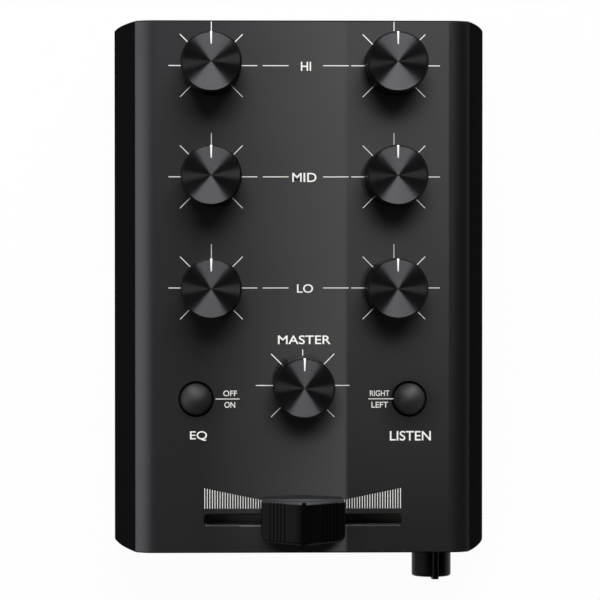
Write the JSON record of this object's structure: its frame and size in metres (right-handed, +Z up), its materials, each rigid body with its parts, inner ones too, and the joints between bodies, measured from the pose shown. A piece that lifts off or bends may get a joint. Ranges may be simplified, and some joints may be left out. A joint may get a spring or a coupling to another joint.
{
  "type": "dj mixer",
  "caption": "Pocket DJ mixer: slant-sided black metal case with rotary tone and master knobs, crossfader, push buttons, front headphone knob and audio sockets.",
  "frame": {"origin": "on the surface that the feet stand on, under the middle of the whole mixer's length and width", "axes": "+X to the right-hand controls, +Y to the rear sockets, +Z up out of the control panel"},
  "size_m": [0.077, 0.1134, 0.0465],
  "materials": {
    "cover": "satin black anodised, white screen print",
    "plates": "matte black anodised",
    "feet": "matte black rubber",
    "screws": "black zinc",
    "knobs": "spun black anodised",
    "headphone_knob": "satin black plastic",
    "buttons": "satin black plastic",
    "fader_cap": "soft matte black plastic",
    "board": "green solder mask",
    "pot_housings": "tinned steel",
    "shafts": "plain turned",
    "nickel_hardware": "nickel plated",
    "fader_steel": "bright zinc",
    "fader_track": "brown laminate",
    "fader_slider": "black acetal",
    "contact_metal": "sprung contact metal",
    "switch_housings": "black moulded",
    "switch_plungers": "off-white acetal",
    "springs": "bright wire",
    "sockets": "black moulded",
    "capacitors": "red film box",
    "resistors": "blue lacquer"
  },
  "bodies": {
    "case": {"base_plate": "plates", "base_screws": "screws", "crossfader_frame": "fader_steel", "crossfader_rails": "fader_steel", "crossfader_track": "fader_track", "eq_capacitors": "capacitors", "eq_resistors": "resistors", "eq_spring": "springs", "eq_switch": "switch_housings", "feet": "feet", "front_panel": "plates", "headphone_jack": "sockets", "headphone_pot": "pot_housings", "hi_left_pot": "pot_housings", "hi_right_pot": "pot_housings", "jack_nuts": "nickel_hardware", "left_input_jack": "sockets", "listen_spring": "springs", "listen_switch": "switch_housings", "lo_left_pot": "pot_housings", "lo_right_pot": "pot_housings", "main_board": "board", "master_output_jack": "sockets", "master_pot": "pot_housings", "mid_left_pot": "pot_housings", "mid_right_pot": "pot_housings", "panel_screws": "screws", "pot_nuts": "nickel_hardware", "pot_washers": "nickel_hardware", "rear_panel": "plates", "right_input_jack": "sockets", "top_cover": "cover"},
    "hi_left_control": {"hi_left_knob": "knobs", "hi_left_shaft": "shafts"},
    "hi_right_control": {"hi_right_knob": "knobs", "hi_right_shaft": "shafts"},
    "mid_left_control": {"mid_left_knob": "knobs", "mid_left_shaft": "shafts"},
    "mid_right_control": {"mid_right_knob": "knobs", "mid_right_shaft": "shafts"},
    "lo_left_control": {"lo_left_knob": "knobs", "lo_left_shaft": "shafts"},
    "lo_right_control": {"lo_right_knob": "knobs", "lo_right_shaft": "shafts"},
    "master_control": {"master_knob": "knobs", "master_shaft": "shafts"},
    "headphone_control": {"headphone_knob": "headphone_knob", "headphone_shaft": "shafts"},
    "crossfader": {"crossfader_cap": "fader_cap", "crossfader_slider": "fader_slider", "crossfader_wiper": "contact_metal"},
    "eq_push": {"eq_button": "buttons", "eq_plunger": "switch_plungers"},
    "listen_push": {"listen_button": "buttons", "listen_plunger": "switch_plungers"}
  },
  "joints": [
    {"name": "hi_left_turn", "type": "hinge", "parent": "case", "child": "hi_left_control", "pos_m": [-0.01826, 0.04715, 0.0315], "axis": [0, 0, 1], "range_deg": [-140, 140]},
    {"name": "hi_right_turn", "type": "hinge", "parent": "case", "child": "hi_right_control", "pos_m": [0.01826, 0.04715, 0.0315], "axis": [0, 0, 1], "range_deg": [-140, 140]},
    {"name": "mid_left_turn", "type": "hinge", "parent": "case", "child": "mid_left_control", "pos_m": [-0.01826, 0.02495, 0.0315], "axis": [0, 0, 1], "range_deg": [-140, 140]},
    {"name": "mid_right_turn", "type": "hinge", "parent": "case", "child": "mid_right_control", "pos_m": [0.01826, 0.02495, 0.0315], "axis": [0, 0, 1], "range_deg": [-140, 140]},
    {"name": "lo_left_turn", "type": "hinge", "parent": "case", "child": "lo_left_control", "pos_m": [-0.01826, 0.00275, 0.0315], "axis": [0, 0, 1], "range_deg": [-140, 140]},
    {"name": "lo_right_turn", "type": "hinge", "parent": "case", "child": "lo_right_control", "pos_m": [0.01826, 0.00275, 0.0315], "axis": [0, 0, 1], "range_deg": [-140, 140]},
    {"name": "master_turn", "type": "hinge", "parent": "case", "child": "master_control", "pos_m": [0, -0.01675, 0.0315], "axis": [0, 0, 1], "range_deg": [-140, 140]},
    {"name": "headphone_turn", "type": "hinge", "parent": "case", "child": "headphone_control", "pos_m": [0.0267, -0.0493, 0.0173], "axis": [0, -1, 0], "range_deg": [-131, 149]},
    {"name": "crossfader_slide", "type": "slide", "parent": "case", "child": "crossfader", "axis": [1, 0, 0], "range_m": [-0.017, 0.017]},
    {"name": "eq_press", "type": "slide", "parent": "case", "child": "eq_push", "axis": [0, 0, -1], "range_m": [0, 0.0016], "stiffness_N_per_m": 400, "deforming": ["eq_spring"]},
    {"name": "listen_press", "type": "slide", "parent": "case", "child": "listen_push", "axis": [0, 0, -1], "range_m": [0, 0.0016], "stiffness_N_per_m": 400, "deforming": ["listen_spring"]}
  ]
}
